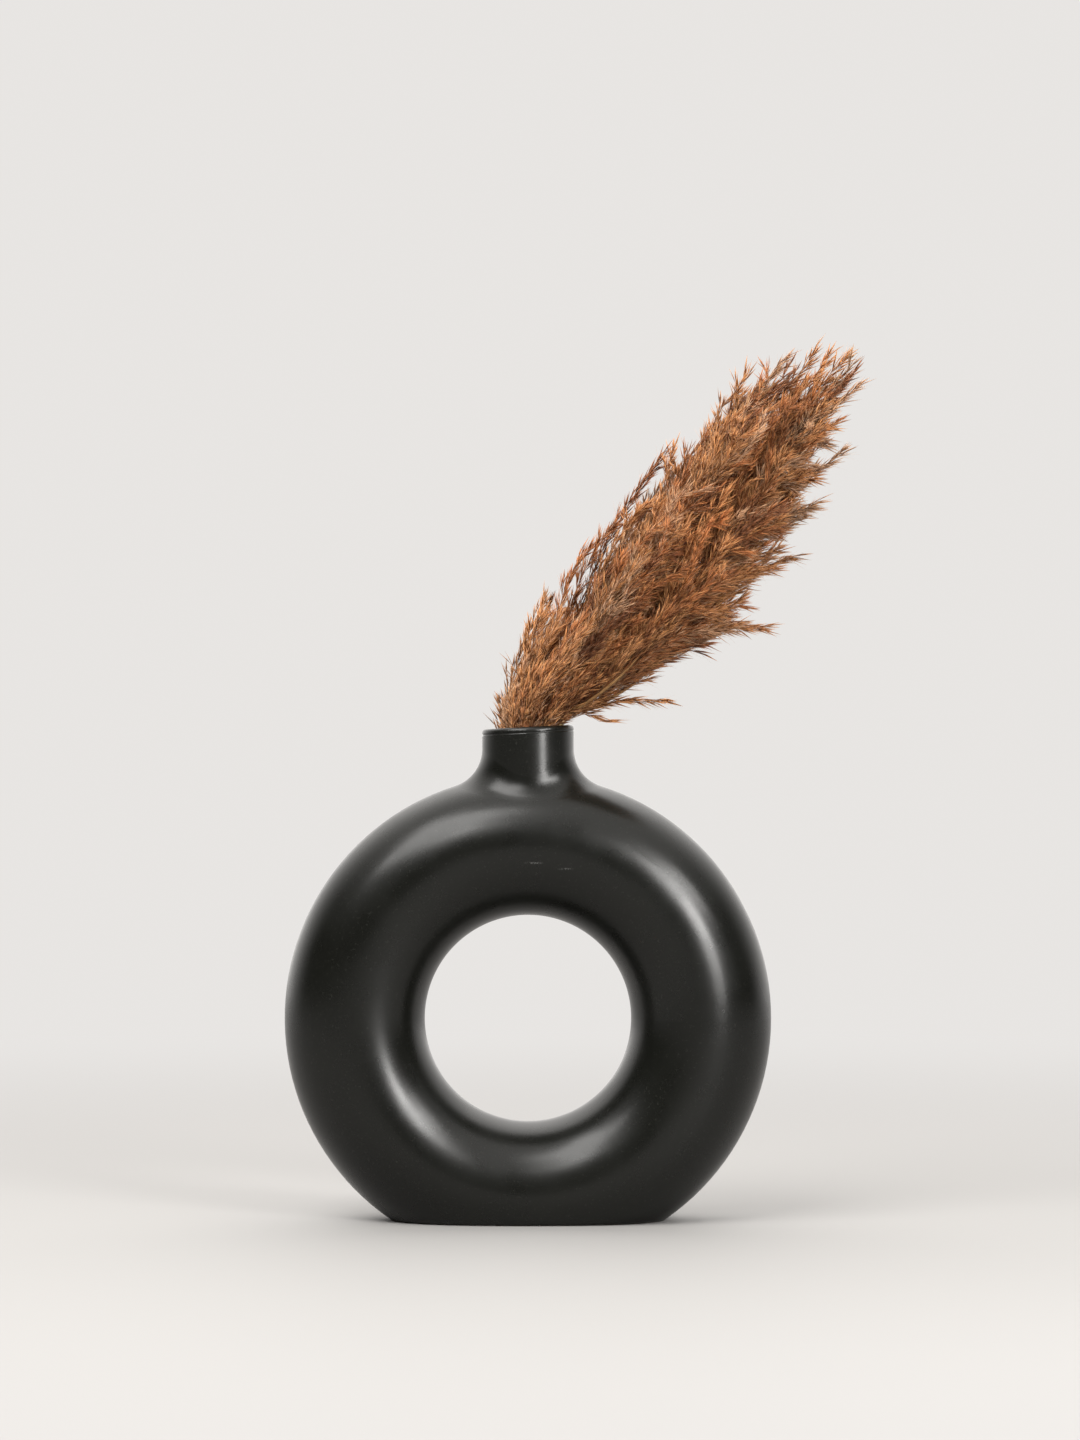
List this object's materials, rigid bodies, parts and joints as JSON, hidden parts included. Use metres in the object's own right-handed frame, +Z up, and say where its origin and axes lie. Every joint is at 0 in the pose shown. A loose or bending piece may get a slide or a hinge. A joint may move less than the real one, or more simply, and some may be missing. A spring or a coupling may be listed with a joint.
{
  "type": "vase",
  "caption": "Upright ring-shaped ceramic vase with a short round neck and a flat foot, holding a leaning bunch of dried reed grass.",
  "frame": {"origin": "middle of the flat foot that the vase stands on", "axes": "+Z up through the neck, +X the way the grass leans, -Y the front; the ring's own axis runs along Y"},
  "size_m": [0.3002, 0.072, 0.4424],
  "materials": {
    "dark_clay": "satin",
    "reed_stalk": "satin",
    "reed_plume": "matte"
  },
  "bodies": {
    "vase": {"vase": "dark_clay"},
    "stem_right": {"stalk_right": "reed_stalk", "plume_right": "reed_plume"},
    "stem_back": {"stalk_back": "reed_stalk", "plume_back": "reed_plume"},
    "stem_left": {"stalk_left": "reed_stalk", "plume_left": "reed_plume"},
    "stem_front_left": {"stalk_front_left": "reed_stalk", "plume_front_left": "reed_plume"},
    "stem_front_right": {"stalk_front_right": "reed_stalk", "plume_front_right": "reed_plume"}
  },
  "joints": [
    {"name": "lift_right", "type": "slide", "parent": "vase", "child": "stem_right", "axis": [0.6225, 0, 0.7826], "range_m": [0, 0.22]},
    {"name": "lift_back", "type": "slide", "parent": "vase", "child": "stem_back", "axis": [0.6225, 0, 0.7826], "range_m": [0, 0.22]},
    {"name": "lift_left", "type": "slide", "parent": "vase", "child": "stem_left", "axis": [0.6225, 0, 0.7826], "range_m": [0, 0.22]},
    {"name": "lift_front_left", "type": "slide", "parent": "vase", "child": "stem_front_left", "axis": [0.6225, 0, 0.7826], "range_m": [0, 0.22]},
    {"name": "lift_front_right", "type": "slide", "parent": "vase", "child": "stem_front_right", "axis": [0.6225, 0, 0.7826], "range_m": [0, 0.22]}
  ]
}
